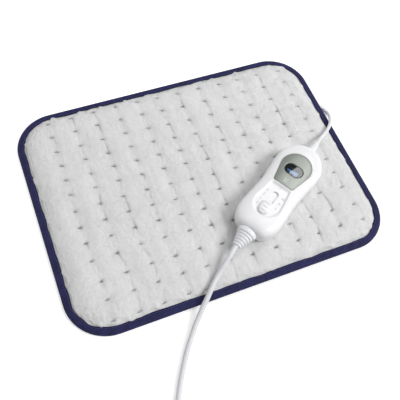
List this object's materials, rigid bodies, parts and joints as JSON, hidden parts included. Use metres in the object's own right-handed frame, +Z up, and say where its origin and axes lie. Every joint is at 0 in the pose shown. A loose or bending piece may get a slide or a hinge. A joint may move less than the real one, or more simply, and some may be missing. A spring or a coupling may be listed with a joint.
{
  "type": "heating pad with controller",
  "caption": "Flat tufted plush heating pad with a bound edge and a wired hand controller that has a display window and a heat slide, on a mains lead with a flat plug.",
  "frame": {"origin": "on the floor under the middle of the pad", "axes": "+X along the long side of the pad, +Y along its short side, away from the edge that the mains lead crosses, +Z up"},
  "size_m": [0.4075, 0.5009, 0.04],
  "materials": {
    "plush": "short pile",
    "binding_tape": "woven",
    "felt": "matte",
    "wire_sleeve": "matte",
    "white_housing": "satin",
    "panel": "satin",
    "window": "clear gloss",
    "display_glass": "gloss",
    "light_guide": "gloss",
    "dark_plastic": "matte",
    "board": "satin",
    "steel": "brushed",
    "capacitor_case": "gloss",
    "core_sleeve": "matte",
    "cord_sheath": "satin",
    "tie": "matte",
    "pin_metal": "polished"
  },
  "bodies": {
    "pad_and_controller": {"top_cover": "plush", "bottom_cover": "plush", "edge_binding": "binding_tape", "heater_carrier": "felt", "heating_wire": "wire_sleeve", "junction_block": "white_housing", "thermal_cutout": "steel", "pad_lead_gland": "cord_sheath", "lower_housing": "white_housing", "upper_housing": "white_housing", "display_panel": "panel", "display_window": "window", "display_glass": "display_glass", "backlight_plate": "light_guide", "display_frame": "dark_plastic", "circuit_board": "board", "switch_body": "dark_plastic", "mains_terminal": "dark_plastic", "pad_terminal": "dark_plastic", "film_capacitor": "capacitor_case", "mains_fuse": "steel", "triac": "dark_plastic", "control_chip": "dark_plastic", "housing_screw_1": "steel", "housing_screw_2": "steel", "housing_screw_3": "steel", "housing_screw_4": "steel", "mains_strain_relief": "cord_sheath", "pad_lead_relief": "cord_sheath", "mains_core_live": "core_sleeve", "mains_core_neutral": "core_sleeve", "pad_core_feed": "core_sleeve", "pad_core_return": "core_sleeve", "mains_cord": "cord_sheath", "mains_cord_coil": "cord_sheath", "mains_cord_tail": "cord_sheath", "pad_lead": "cord_sheath", "coil_tie": "tie", "plug_body": "cord_sheath", "plug_pin_1": "pin_metal", "plug_pin_2": "pin_metal"},
    "slider": {"slide_knob": "white_housing", "slide_shutter": "white_housing", "switch_lever": "dark_plastic"}
  },
  "joints": [
    {"name": "heat_slide", "type": "slide", "parent": "pad_and_controller", "child": "slider", "axis": [0.8494, 0.5277, 0], "range_m": [0, 0.0218]}
  ]
}
